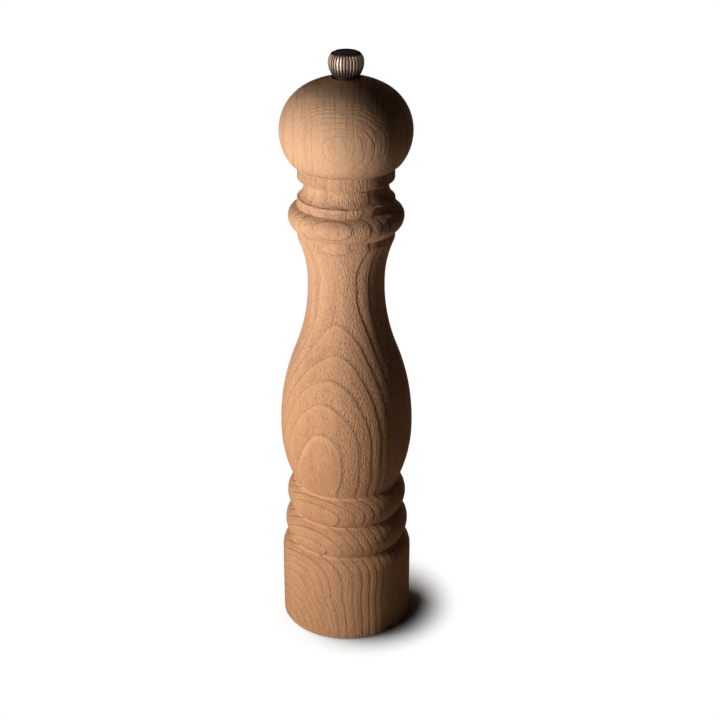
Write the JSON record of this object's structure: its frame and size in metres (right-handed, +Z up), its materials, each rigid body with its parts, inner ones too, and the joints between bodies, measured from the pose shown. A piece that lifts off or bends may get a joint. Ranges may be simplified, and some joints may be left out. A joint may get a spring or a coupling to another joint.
{
  "type": "pepper mill",
  "caption": "Turned wooden pepper mill with a vase-shaped body, beaded base, domed turning head, fluted metal adjusting knob and a steel burr grinder.",
  "frame": {"origin": "middle of the resting face, on the mill's axis", "axes": "+Z up along the mill's axis, -Y towards the viewer of the picture, X along the bridge"},
  "size_m": [0.0671, 0.067, 0.3],
  "materials": {
    "body_wood": "brushed open-grain beech, dry and unlacquered",
    "head_wood": "brushed open-grain beech, dry and unlacquered",
    "knob_metal": "dark gunmetal, polished on the ribs",
    "knob_cap": "dark satin",
    "brass": "turned",
    "steel": "plain",
    "grinder_steel": "case-hardened, grey"
  },
  "bodies": {
    "mill_body": {"body": "body_wood", "stator": "grinder_steel", "spindle_guide": "steel", "spring_seat_upper": "steel", "bridge": "steel", "bridge_screws": "steel"},
    "drive_bush": {"spindle_bush": "brass", "bush_clip": "steel"},
    "grinder_spindle": {"spindle": "steel", "rotor": "grinder_steel", "rotor_pin": "steel", "spring_seat_lower": "steel", "spring": "steel"},
    "mill_head": {"head": "head_wood", "drive_plate": "steel", "drive_plate_screws": "steel", "knob_washer": "steel"},
    "knob": {"knob_shell": "knob_metal", "knob_insert": "brass", "knob_cap": "knob_cap"}
  },
  "joints": [
    {"name": "head_turn", "type": "hinge", "parent": "mill_body", "child": "drive_bush", "pos_m": [0, 0, 0.004], "axis": [0, 0, 1], "continuous": true},
    {"name": "grind_set", "type": "slide", "parent": "drive_bush", "child": "grinder_spindle", "axis": [0, 0, 1], "range_m": [-0.0005, 0.0005], "deforming": ["spring"]},
    {"name": "head_lift", "type": "slide", "parent": "drive_bush", "child": "mill_head", "axis": [0, 0, 1], "range_m": [0, 0.09]},
    {"name": "knob_turn", "type": "hinge", "parent": "mill_head", "child": "knob", "pos_m": [0, 0, 0.294], "axis": [0, 0, 1], "range_deg": [-180, 180]}
  ],
  "couplings": [
    {"joint": "knob_turn", "follows": "grind_set", "rad_per_m": -6283.2}
  ]
}
